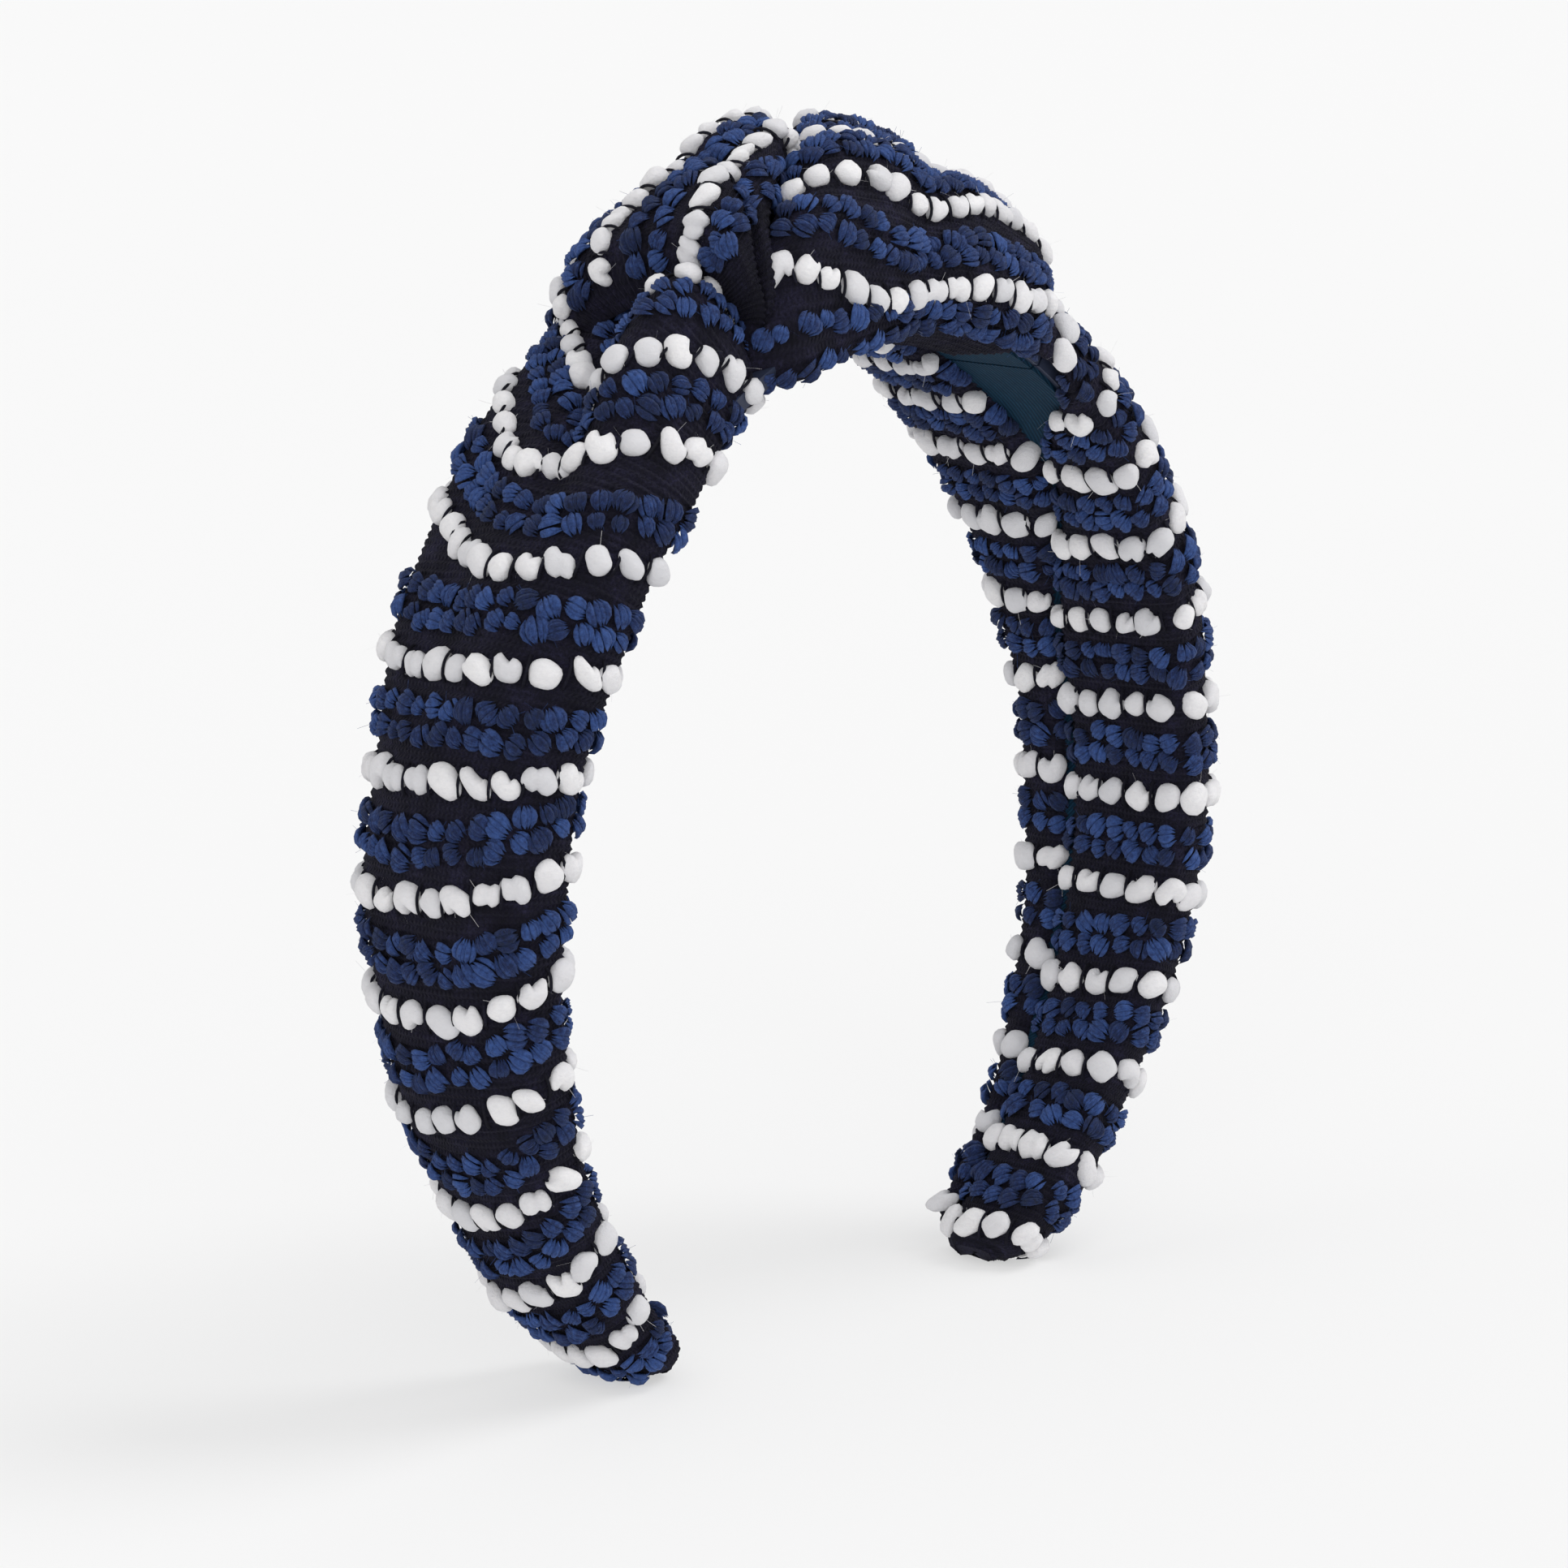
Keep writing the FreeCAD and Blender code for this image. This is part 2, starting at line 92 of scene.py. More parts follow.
class Surface:
    """A cloth surface. along runs down its length in mm, around is 0 to 1 about its section."""

    def __init__(self, function, middle):
        """The section at middle, a place along it, tells the inside from the outside."""
        self.function = function
        self.outward = 1.0
        ring, normal, _, _ = self.frame_at(np.full(40, middle), np.linspace(0.02, 0.98, 40))
        self.outward = np.sign(((ring - ring.mean(0)) * normal).sum())

    def point(self, along, around):
        return self.function(np.asarray(along, float), np.asarray(around, float))

    def frame_at(self, along, around):
        """Points with their outward normals and unit directions round and along the surface."""
        step_a, step_r = 0.4, 0.004
        here = self.point(along, around)
        down = self.point(along + step_a, around) - self.point(along - step_a, around)
        turn = self.point(along, around + step_r) - self.point(along, around - step_r)
        turn /= np.linalg.norm(turn, axis=-1, keepdims=True) + 1e-9
        normal = self.outward * np.cross(turn, down)
        normal /= np.linalg.norm(normal, axis=-1, keepdims=True) + 1e-9
        return here, normal, turn, self.outward * np.cross(normal, turn)


SECTION_STEPS = 41
SECTION_ROUND = 2.2  # the superellipse's power; 2 is a plain ellipse


def section(width, rise, inner):
    """Half the wrapped section: y and rise from the middle of the inner face round to the top.

    All arguments are arrays of one shape; the result has one more axis, of SECTION_STEPS."""
    angle = np.linspace(-np.pi / 2, np.pi / 2, SECTION_STEPS)
    cosine, sine = np.cos(angle), np.sin(angle)
    y = width[..., None] / 2 * np.abs(cosine) ** (2 / SECTION_ROUND)
    low = -inner[..., None] * np.abs(sine) ** 0.5
    high = rise[..., None] * np.abs(sine) ** (2 / SECTION_ROUND)
    return y, np.where(sine < 0, low, high)


SEAM_GAP = 0.2  # from the middle of the seam to either edge
SEAM_BEHIND, SEAM_SHIFT = 6.0, 9.5  # the seam lies behind the middle, then crosses it
FRONT_PARTING, BACK_PARTING = 14.5, 3.0  # how far each edge draws back under the knot


def seam_edges(side, along):
    """Y of the cloth's front and back edges on the inner face; they part towards the crown."""
    middle = SEAM_BEHIND - SEAM_SHIFT * ease(along, 88, 125)
    part = ease(along, 121, 147)
    front = middle - SEAM_GAP - FRONT_PARTING * part
    back = middle + SEAM_GAP + BACK_PARTING * part
    return (front, back) if side > 0 else (-back, -front)


FRONT_RIDGE, BACK_DROP, VALLEY_DEPTH = 8.0, 3.6, 5.5
RIGHT_STRENGTH = 0.6  # the right leg's folds are shallower


def shoulder(side, along, y):
    """How far the cloth stands up near the knot: a ridge, a valley and a lowered far side."""
    turned = -side * y
    strength = 1.0 if side < 0 else RIGHT_STRENGTH
    near_knot = 1 - ease(along, 154, 163)
    front = FRONT_RIDGE * ease(along, 133, 153) * hump(turned, -10.5, 6.5)
    back = -BACK_DROP * ease(along, 85, 125) * hump(turned, 8, 9)
    middle = -5 + 6 * ease(along, 125, 152)
    valley = VALLEY_DEPTH * ease(along, 114, 146) * hump(turned, middle, 3.6)
    return strength * near_knot * (front + back - valley)


TIP_WIDTH, TIP_RISE = 16.4, 4.0  # the wrapped section at a leg's tip
WIDTH_GAIN, RISE_GAIN = 24.0, 7.9  # how much it grows towards the crown
INNER_RISE = 3.5
FOLD_DEPTH, FOLD_REACH = 1.9, 1.6  # the cloth turns in beside the seam
NOSE_START, NOSE_REACH = 2.5, 6.2  # the tip is rounded below this place
GATHER = 0.3  # how much the section shrinks where it goes into the knot


def leg_surface(side):
    """The wrapped cloth of one leg; around starts at its front edge on the inner face."""
    wobble = np.random.default_rng(11 if side < 0 else 12).uniform(0, TAU, 6)

    def function(along, around):
        along, around = np.broadcast_arrays(along, around)
        share = np.clip(along / HALF_ARC, 0, 1)
        full = np.sin(np.pi / 2 * share)
        soft = 0.5 * np.sin(along / 9 + wobble[0]) + 0.4 * np.sin(along / 4.6 + wobble[1])
        below = np.clip(NOSE_START - along, 0, None) / NOSE_REACH
        nose = np.sqrt(np.clip(1 - below ** 2, 0.02, 1))
        gathered = 1 - GATHER * ease(along, 154, 162)
        width = (TIP_WIDTH + WIDTH_GAIN * full + soft) * nose * gathered
        rise = (TIP_RISE + RISE_GAIN * full ** 0.45 + 0.4 * soft) * nose * gathered
        half_y, half_h = section(width, rise, INNER_RISE * nose)
        step = np.hypot(np.diff(half_y, axis=-1, prepend=half_y[..., :1]),
                        np.diff(half_h, axis=-1, prepend=half_h[..., :1]))
        path = np.cumsum(step, axis=-1)
        girth = 2 * path[..., -1]
        # Unrolled round the section, from the cloth's front edge to its back edge.
        front, back = seam_edges(side, along)
        place = -front + around * (girth - back + front)
        from_edge = np.minimum(place + front, girth - back - place)
        place = np.mod(place, girth)
        on_front = place <= girth / 2
        folded = np.where(on_front, place, girth - place)
        y, height = lookup(path, half_y, folded), lookup(path, half_h, folded)
        y = np.where(on_front, -y, y)
        # One half is drawn in at the knot: the left leg's front and the right leg's back.
        narrowed = 1 - 0.16 * ease(along, 130, 152) - 0.2 * ease(along, 151, 162)
        y = np.where(side * y > 0, y * narrowed, y)
        on_top = np.clip(height / np.maximum(rise, 1), 0, 1)
        height = height + on_top ** 0.7 * shoulder(side, along, y)
        height = height + FOLD_DEPTH * hump(from_edge, 0, FOLD_REACH)
        lumps = 0.35 * np.sin(y / 3.1 + wobble[2]) * np.sin(along / 5.3 + wobble[3])
        height = height + lumps * np.where(height > 0, 1, 0.4)
        x, z = on_line(along, height)
        return np.stack([-side * x, y, np.maximum(z, 0.05)], -1)

    return Surface(function, 60.0)


def lookup(path, values, want):
    """values at the places want along path, both along the last axis of path and values."""
    index = np.clip((path < want[..., None]).sum(-1), 1, path.shape[-1] - 1)

    def take(table, at):
        return np.take_along_axis(table, at[..., None], -1)[..., 0]

    low, high = take(path, index - 1), take(path, index)
    share = np.clip((want - low) / np.maximum(high - low, 1e-6), 0, 1)
    return take(values, index - 1) * (1 - share) + take(values, index) * share


def spline(table, where):
    """Catmull-Rom through the rows of table at where, 0 to its last row."""
    count = len(table)
    where = np.clip(where, 0, count - 1.0001)
    index = where.astype(int)
    t = (where - index)[..., None]
    rows = [table[np.clip(index + shift, 0, count - 1)] for shift in (-1, 0, 1, 2)]
    return 0.5 * (2 * rows[1] + (rows[2] - rows[0]) * t
                  + (2 * rows[0] - 5 * rows[1] + 4 * rows[2] - rows[3]) * t ** 2
                  + (3 * rows[1] - rows[0] - 3 * rows[2] + rows[3]) * t ** 3)


def draped(angle, y, rise):
    """A point over the crown: angle in degrees from its top, towards +X."""
    angle = np.radians(angle)
    reach = CROWN_RADIUS + rise
    return np.stack([reach * np.sin(angle), y, CROWN_CENTRE + reach * np.cos(angle)], -1)


CURL = 0.05  # the share of a row that turns in at each end
CURL_REACH, CURL_DEPTH = 0.15, 8.0
LOBE_CORE = 3.0  # the rise of the lobes' middle


def lobe_surface(near, far, bow, swell, seed):
    """A lobe of the knot: cloth draped round the band between its valley and its far crease.

    near and far hold, from the front underside over the top to the back underside, the angle
    over the crown, y and rise of each station, and bow how far the middle strays from the
    straight between them. around runs from near to far, along the rows."""
    near, far, bow = np.array(near, float), np.array(far, float), np.array(bow, float)
    fine = np.linspace(0, len(near) - 1, 400)
    middle = draped(*((spline(near, fine) + spline(far, fine)) / 2 + spline(bow, fine)).T)
    length = np.concatenate([[0], np.cumsum(np.linalg.norm(np.diff(middle, axis=0), axis=1))])
    phase = np.random.default_rng(seed).uniform(0, TAU, 4)

    def function(along, around):
        along, around = np.broadcast_arrays(along, around)
        where = np.interp(along, length, fine)
        one, two = spline(near, where), spline(far, where)
        share = np.clip((around - CURL) / (1 - 2 * CURL), -0.02, 1.02)[..., None]
        bent = 4 * share * (1 - share) * spline(bow, where)
        angle, y, rise = np.moveaxis(one + (two - one) * share + bent, -1, 0)
        inward = CURL_DEPTH * (np.clip(1 - around / CURL_REACH, 0, 1) ** 2.0
                               + np.clip(1 - (1 - around) / CURL_REACH, 0, 1) ** 2.4)
        outward = swell * np.sin(np.pi * np.clip(around, 0, 1)) ** 0.8
        gather = 0.8 * np.sin(along / 2.6 + phase[0] + 3 * around)
        gather = gather * np.clip(1 - around, 0, 1) ** 1.5
        pleat = 1.5 * hump(around, 0.47 + 0.03 * np.sin(along / 7), 0.07)
        soft = 0.5 * np.sin(along / 4.1 + phase[1]) * np.sin(9 * around + phase[2])
        move = outward + gather + soft - inward - pleat
        reach = np.hypot(y, rise - LOBE_CORE) + 1e-6
        y, rise = y + move * y / reach, rise + move * (rise - LOBE_CORE) / reach
        return draped(angle, y, rise)

    surface = Surface(function, length[-1] / 2)
    surface.length = length[-1]
    return surface


# Each station: the angle over the crown, y and rise, at the valley and at the far crease.
RIGHT_NEAR = ((-20, -8, -4), (-24, -18.5, -1), (-17.5, -18, 14), (-8, -12, 22.5), (0, 0, 24),
              (8, 10, 23), (18, 16.5, 15), (21, 18, 3), (21, 9, -4))
RIGHT_FAR = ((26, -10, -4), (28, -20.5, -1), (29.5, -20, 6.5), (33, -12, 14), (41, -1, 15),
             (34, 10, 17), (30, 17, 14), (27, 19, 3), (27, 10, -4))
RIGHT_BOW = ((0, 0, 0), (0, -0.5, 0), (0, -1.5, -4.5), (0, -1.5, -1.5), (0, 0, 1.5),
             (0, 0, 1), (0, 0, 0), (0, 0, 0), (0, 0, 0))
LEFT_NEAR = ((-20, -9, 0), (-20, -16.5, 8), (-12, -11.5, 19), (-2, -2.5, 25), (1, 3, 25.5),
             (4, 9, 23.5), (8, 15, 17), (12, 19, 6), (12, 10, -4))
LEFT_FAR = ((-21, -10, 0), (-22, -16, 10), (-22, -14.5, 17), (-22, -8.5, 19), (-23.5, 3, 17.5),
            (-25, 10, 15), (-26, 15, 12), (-27, 19, 4), (-26, 10, -4))
LEFT_BOW = ((0, 0, 0), (0, 0, 0), (0, 0, 0.5), (-1.5, 0.5, 1), (0, 0, 1), (0, 0, 1), (0, 0, 0),
            (0, 0, 0), (0, 0, 0))


# ---------------------------------------------------------------- mesh helpers

FLOOR_GAP = 0.02  # nothing comes nearer to the floor than this


def new_mesh(name, vertices, faces):
    """A smooth-shaded mesh object from millimetre vertices."""
    mesh = bpy.data.meshes.new(name)
    mesh.from_pydata((np.asarray(vertices) * MM).tolist(), [], faces)
    mesh.polygons.foreach_set("use_smooth", [True] * len(mesh.polygons))
    mesh.update()
    made = bpy.data.objects.new(name, mesh)
    bpy.context.scene.collection.objects.link(made)
    return made


def grid_faces(rows, columns, wrap):
    """Quads of a grid of that many vertices, joined round its columns if wrap."""
    last = columns if wrap else columns - 1
    low = (np.arange(rows - 1)[:, None] * columns + np.arange(last)[None, :])
    following = (np.arange(last) + 1) % columns
    low_next = np.arange(rows - 1)[:, None] * columns + following[None, :]
    quads = np.stack([low, low_next, low_next + columns, low + columns], -1)
    return quads.reshape(-1, 4)


def set_uv(made, uv):
    """Cloth coordinates, one pair per vertex."""
    layer = made.data.uv_layers.new(name="cloth")
    loops = np.empty(len(made.data.loops), int)
    made.data.loops.foreach_get("vertex_index", loops)
    layer.data.foreach_set("uv", np.asarray(uv)[loops].ravel())


RIB_PITCH = 1.15
RIB_STEPS = 4
RIB_HEIGHT = 0.16
THREAD_ROUGHNESS = 0.05
UV_UNIT = 10  # millimetres of cloth to one unit of UV


def cloth_mesh(name, surface, start, end, around_count):
    """The ground cloth: fine ribs run round it, one for each weft thread."""
    along = np.arange(start, end, RIB_PITCH / RIB_STEPS)
    around = np.linspace(0, 1, around_count)
    grid_a, grid_r = np.meshgrid(along, around, indexing="ij")
    points, normal, _, _ = surface.frame_at(grid_a, grid_r)
    rib = np.sin(TAU * grid_a / RIB_PITCH)
    thread = np.random.default_rng(5).normal(0, 1, grid_a.shape)
    points = points + normal * (RIB_HEIGHT * rib + THREAD_ROUGHNESS * thread)[..., None]
    points[..., 2] = np.maximum(points[..., 2], FLOOR_GAP)
    faces = grid_faces(len(along), len(around), False)
    faces = faces if surface.outward > 0 else faces[:, ::-1]
    made = new_mesh(name, points.reshape(-1, 3), faces.tolist())
    girth = np.linalg.norm(np.diff(points[len(along) // 2], axis=0), axis=1).sum()
    set_uv(made, (np.stack([grid_a, grid_r * girth], -1) / UV_UNIT).reshape(-1, 2))
    return made


CAP_STEPS = 48


def end_cap(name, surface, at):
    """Closes a leg's tip with a shallow fan of cloth."""
    ring = surface.point(np.full(CAP_STEPS, at), np.linspace(0, 1, CAP_STEPS))
    centre = ring.mean(0)
    rings = [ring * (1 - s) + centre * s for s in (0.0, 0.3, 0.6, 0.9)]
    return new_mesh(name, np.concatenate(rings), grid_faces(len(rings), CAP_STEPS, False).tolist())


# ---------------------------------------------------------------- beads of yarn

def bead_template(rings, segments):
    """A unit sphere's vertices and faces, its poles on the row's axis."""
    polar = np.linspace(0, np.pi, rings + 1)[1:-1]
    turn = np.linspace(0, TAU, segments, endpoint=False)
    grid_p, grid_t = np.meshgrid(polar, turn, indexing="ij")
    body = np.stack([np.cos(grid_p), np.sin(grid_p) * np.cos(grid_t),
                     np.sin(grid_p) * np.sin(grid_t)], -1).reshape(-1, 3)
    vertices = np.concatenate([body, [[1, 0, 0], [-1, 0, 0]]])
    faces = grid_faces(rings - 1, segments, True).tolist()
    first, last = len(body), len(body) + 1
    foot = (rings - 2) * segments
    for n in range(segments):
        following = (n + 1) % segments
        faces.append([first, following, n])
        faces.append([last, foot + n, foot + following])
    return vertices, faces


def white_bead(unit, rng):
    """A felted blob of roving: an oval, often notched or pinched in two, leaning a little."""
    x, y, z = unit.T.copy()
    size = rng.uniform(0.88, 1.12)
    notch = rng.uniform(0, 1)
    if notch < 0.42:
        place = rng.uniform(-0.7, 0.7)
        side = 1 if rng.uniform() < 0.75 else -1
        dent = hump(x, place, 0.26) * np.clip(side * y, 0, 1)
        y = y - side * 0.62 * dent
        z = z * (1 - 0.25 * hump(x, place, 0.3) * np.clip(side * y + 0.3, 0, 1))
    elif notch < 0.58:
        waist = hump(x, rng.uniform(-0.25, 0.25), 0.22)
        y, z = y * (1 - 0.32 * waist), z * (1 - 0.3 * waist)
        x = x * 1.12
    bumps = 0.05 * np.sin(3 * x + 4 * y + rng.uniform(0, TAU)) + 0.04 * np.sin(
        5 * z - 3 * x + rng.uniform(0, TAU))
    blob = np.stack([x, y, z], -1) * (1 + bumps)[:, None]
    lean = rng.normal(0.12, 0.2)
    blob[:, 0] += lean * blob[:, 1]
    return blob * np.array([rng.uniform(0.92, 1.08), rng.uniform(0.92, 1.1), 1]) * size


def strand_template(strands, rings, sides):
    """A bead's strands: for each vertex its strand and place along it, -1 to 1, and its turn."""
    place = np.linspace(-1, 1, rings)
    turn = np.linspace(0, TAU, sides, endpoint=False)
    across = np.linspace(-1, 1, strands)
    unit = np.stack(np.meshgrid(across, place, turn, indexing="ij"), -1).reshape(-1, 3)
    tube = grid_faces(rings, sides, True)
    faces = np.concatenate([tube + n * rings * sides for n in range(strands)]).tolist()
    return unit, faces


def blue_bead(unit, rng):
    """A slub of loosely twisted yarn: a few fat strands lie slantwise and are pinched together."""
    across, place, turn = unit.T
    spread = across * rng.uniform(0.6, 0.85) + 0.12 * np.sin(7 * across + rng.uniform(0, TAU))
    thick = 0.27 * np.clip(1 - np.abs(place) ** 2.6, 0.03, 1)
    x = place * rng.uniform(0.8, 1.1) + thick * 0.3 * np.cos(turn)
    y = spread * (1 - 0.45 * place ** 2) + thick * np.cos(turn)
    arch = np.sqrt(np.clip(1.05 - 0.75 * spread ** 2 - 0.85 * place ** 2, 0, 1.1))
    z = 0.85 * arch + 1.2 * thick * np.sin(turn) + 0.1 * np.sin(5 * spread + rng.uniform(0, TAU))
    slant = rng.normal(0.7, 0.35) * (1 if rng.uniform() < 0.85 else -1)
    turned = np.array([[np.cos(slant), np.sin(slant), 0], [-np.sin(slant), np.cos(slant), 0],
                       [0, 0, 1]])
    return (np.stack([x, y, z], -1) @ turned) * rng.uniform(0.85, 1.15)


FIBRES = 2
FIBRE_STEPS = 5
FIBRE_WIDTH = 0.035
FIBRE_TINT = 0.8


def fibre(base, axes, size, rng):
    """A loose fibre that curls out of a bead, as a narrow ribbon."""
    t = np.linspace(0, 1, FIBRE_STEPS)[:, None]
    lean = rng.normal(0, 1, 3) * np.array([1, 1, 0.5]) + np.array([0, 0, 0.7])
    bend = rng.normal(0, 0.7, 3)
    line = size.mean() * (0.7 * lean / np.linalg.norm(lean) + t * lean * 0.25 + t * t * bend * 0.7)
    line = base + line @ axes
    wide = np.cross(lean @ axes, bend @ axes)
    wide *= 0.5 * FIBRE_WIDTH / (np.linalg.norm(wide) + 1e-9)
    return np.stack([line - wide, line + wide], 1).reshape(-1, 3)


TIE_RADIUS, TIE_SIDES, TIE_STEPS = 0.22, 5, 8
TIE_REACH, TIE_HEIGHT, TIE_SINK = 2.3, 1.35, 0.25


def ties(rows):
    """Thin threads of the ground cloth that hold a white row down between its beads."""
    turn = np.linspace(0, TAU, TIE_SIDES, endpoint=False)
    over = np.linspace(-1.25, 1.25, TIE_STEPS)
    vertices, faces = [], []
    for points, normal, round_it, down in rows:
        for n in range(len(points) - 1):
            middle, up = (points[n] + points[n + 1]) / 2, normal[n]
            line = (middle + np.outer(np.sin(over) * TIE_REACH, down[n])
                    + np.outer(np.cos(over) * TIE_HEIGHT - TIE_SINK, up))
            out = np.outer(np.sin(over), down[n]) + np.outer(np.cos(over), up)
            tube = (line[:, None] + TIE_RADIUS * (np.cos(turn)[None, :, None] * out[:, None]
                                                  + np.sin(turn)[None, :, None] * round_it[n]))
            tube[..., 2] = np.maximum(tube[..., 2], FLOOR_GAP)
            first = len(vertices) * TIE_STEPS * TIE_SIDES
            faces.append(grid_faces(TIE_STEPS, TIE_SIDES, True) + first)
            vertices.append(tube.reshape(-1, 3))
    return np.concatenate(vertices), np.concatenate(faces).tolist()


def ties_piece(name, rows):
    """The threads of those rows as a piece in the ground cloth's finish."""
    made = new_mesh(name, *ties(rows))
    made.data.uv_layers.new(name="cloth")
    paint(made, FINISH["cloth"])
    return made


ROW_SAMPLES = 160
PLACE_JITTER = 0.14  # as a share of the spacing
ALONG_JITTER = 0.2
LIFT = (0.15, 0.4)  # how far beads stand off the cloth, as a share of their height


class Beads:
    """Gathers beads of one kind into one mesh, with a tint for each."""

    def __init__(self, kind, seed):
        self.shape, template, size, self.sink = kind
        self.unit, self.faces = template
        self.size = np.array(size)
        self.rng = np.random.default_rng(seed)
        self.vertices = []
        self.tints = []
        self.fibres = []

    def row(self, surface, along, spacing, around=(0.0, 1.0), drift=None):
        """A row round the surface at that place; drift(around) shifts it along."""
        samples = np.linspace(around[0], around[1], ROW_SAMPLES)
        shift = drift(samples) if drift else 0
        line = surface.point(along + shift, samples)
        length = np.concatenate([[0], np.cumsum(np.linalg.norm(np.diff(line, axis=0), axis=1))])
        number = max(3, int(round(length[-1] / spacing)))
        jitter = self.rng.uniform(-PLACE_JITTER, PLACE_JITTER, number)
        places = (np.arange(number) + 0.5 + jitter) / number
        rounds = np.interp(places * length[-1], length, samples)
        alongs = along + (drift(rounds) if drift else 0)
        alongs = alongs + self.rng.normal(0, ALONG_JITTER, number)
        points, normal, turn, down = surface.frame_at(alongs, rounds)
        stretch = length[-1] / number / spacing
        for n in range(number):
            blob = self.shape(self.unit, self.rng) * self.size
            blob[:, 0] *= stretch
            height = self.size[2] * (self.rng.uniform(*LIFT) - self.sink)
            base = points[n] + normal[n] * height
            axes = np.stack([turn[n], down[n], normal[n]])
            self.vertices.append(base + blob @ axes)
            self.tints.append(np.full(len(self.unit), self.rng.uniform(0, 1)))
            self.fibres += [fibre(base, axes, self.size, self.rng) for _ in range(FIBRES)]
        return points, normal, turn, down

    def build(self, name):
        """The gathered beads and their fibres as one mesh object."""
        points = np.concatenate(self.vertices + self.fibres)
        points[:, 2] = np.maximum(points[:, 2], FLOOR_GAP)
        count, step = len(self.vertices), len(self.unit)
        faces = [[index + n * step for index in face] for n in range(count)
                 for face in self.faces]
        strips = grid_faces(FIBRE_STEPS, 2, False) + step * count
        for n in range(len(self.fibres)):
            faces += (strips + n * 2 * FIBRE_STEPS).tolist()
        made = new_mesh(name, points, faces)
        tint = made.data.attributes.new("tint", "FLOAT", "POINT")
        tints = np.full(len(points), FIBRE_TINT, np.float32)
        tints[:step * count] = np.concatenate(self.tints)
        tint.data.foreach_set("value", tints)
        return made


# Each kind of bead: shape, template, half lengths (along the row, across it, up) and sink.
WHITE_ON_LEG = (white_bead, bead_template(11, 16), (2.0, 2.05, 1.5), 0)
WHITE_ON_KNOT = (white_bead, bead_template(11, 16), (2.0, 2.0, 1.5), 0)
BLUE_ON_LEG = (blue_bead, strand_template(7, 5, 4), (1.6, 1.6, 1.2), 0.25)
BLUE_ON_KNOT = (blue_bead, strand_template(7, 5, 4), (1.65, 1.6, 1.2), 0.25)


# ---------------------------------------------------------------- materials

def material(name, roughness, sheen=0.0):
    """A new material with its node tree and its shader."""
    made = bpy.data.materials.new(name)
    made.use_nodes = True
    tree = made.node_tree
    shader = tree.nodes["Principled BSDF"]
    shader.inputs["Roughness"].default_value = roughness
    shader.inputs["Specular IOR Level"].default_value = 0.25
    shader.inputs["Sheen Weight"].default_value = sheen
    shader.inputs["Sheen Roughness"].default_value = 0.5
    return made, tree, shader


def node(tree, kind, inputs=(), **settings):
    """A shader node; inputs maps a socket's name to a value or to another node's output."""
    made = tree.nodes.new(kind)
    for key, value in settings.items():
        setattr(made, key, value)
    for key, value in dict(inputs).items():
        if isinstance(value, bpy.types.NodeSocket):
            tree.links.new(value, made.inputs[key])
        else:
            made.inputs[key].default_value = value
    return made


def ramp(tree, factor, stops):
    """A colour ramp of (place, colour) stops."""
    made = node(tree, "ShaderNodeValToRGB", {"Fac": factor})
    elements = made.color_ramp.elements
    while len(elements) < len(stops):
        elements.new(0.5)
    for element, (place, colour) in zip(elements, stops):
        element.position = place
        element.color = (*colour, 1)
    return made.outputs["Color"]


def noise(tree, vector, scale, detail=4.0, roughness=0.6):
    return node(tree, "ShaderNodeTexNoise", {"Vector": vector, "Scale": scale, "Detail": detail,
                                             "Roughness": roughness}).outputs["Fac"]


def bump(tree, shader, height, distance, strength=1.0):
    made = node(tree, "ShaderNodeBump", {"Height": height, "Distance": distance,
                                         "Strength": strength})
    tree.links.new(made.outputs["Normal"], shader.inputs["Normal"])


def object_space(tree, scale):
    coords = node(tree, "ShaderNodeTexCoord").outputs["Object"]
    return node(tree, "ShaderNodeMapping", {"Vector": coords, "Scale": scale}).outputs["Vector"]


WEFT_SCALE = 5 / RIB_PITCH
WARP_SCALE = 4.2


def cloth_material():
    """Thin near-black navy yarn in an open plain weave, a little hairy."""
    made, tree, shader = material("ground_cloth", 0.95, sheen=0.05)
    shader.inputs["Sheen Tint"].default_value = (0.35, 0.35, 0.6, 1)
    uv = node(tree, "ShaderNodeUVMap", uv_map="cloth").outputs["UV"]
    warped = node(tree, "ShaderNodeVectorMath", {0: uv, 1: node(
        tree, "ShaderNodeVectorMath", {0: node(tree, "ShaderNodeTexNoise", {
            "Vector": uv, "Scale": 6.0, "Detail": 2.0}).outputs["Color"], 1: (0.03, 0.03, 0)},
        operation="MULTIPLY").outputs["Vector"]}, operation="ADD").outputs["Vector"]
    weft = node(tree, "ShaderNodeTexWave", {"Vector": warped, "Scale": WEFT_SCALE, "Distortion": 1.2,
                                            "Detail": 2.0}, bands_direction="X").outputs["Fac"]
    warp = node(tree, "ShaderNodeTexWave", {"Vector": warped, "Scale": WARP_SCALE, "Distortion": 1.6,
                                            "Detail": 2.0}, bands_direction="Y").outputs["Fac"]
    weave = node(tree, "ShaderNodeMath", {0: weft, 1: warp}, operation="MULTIPLY").outputs[0]
    hairs = noise(tree, object_space(tree, (1, 1, 1)), 2600, 5, 0.75)
    height = node(tree, "ShaderNodeMath", {0: weave, 1: hairs}, operation="ADD").outputs[0]
    patches = noise(tree, object_space(tree, (1, 1, 1)), 260, 3)
    mixed = node(tree, "ShaderNodeMath", {0: hairs, 1: patches}, operation="MULTIPLY").outputs[0]
    colour = ramp(tree, mixed, ((0.12, (0.002, 0.0018, 0.006)), (0.27, (0.0075, 0.0065, 0.019)),
                                (0.42, (0.024, 0.022, 0.058))))
    tree.links.new(colour, shader.inputs["Base Color"])
    bump(tree, shader, height, 0.0006)
    return made


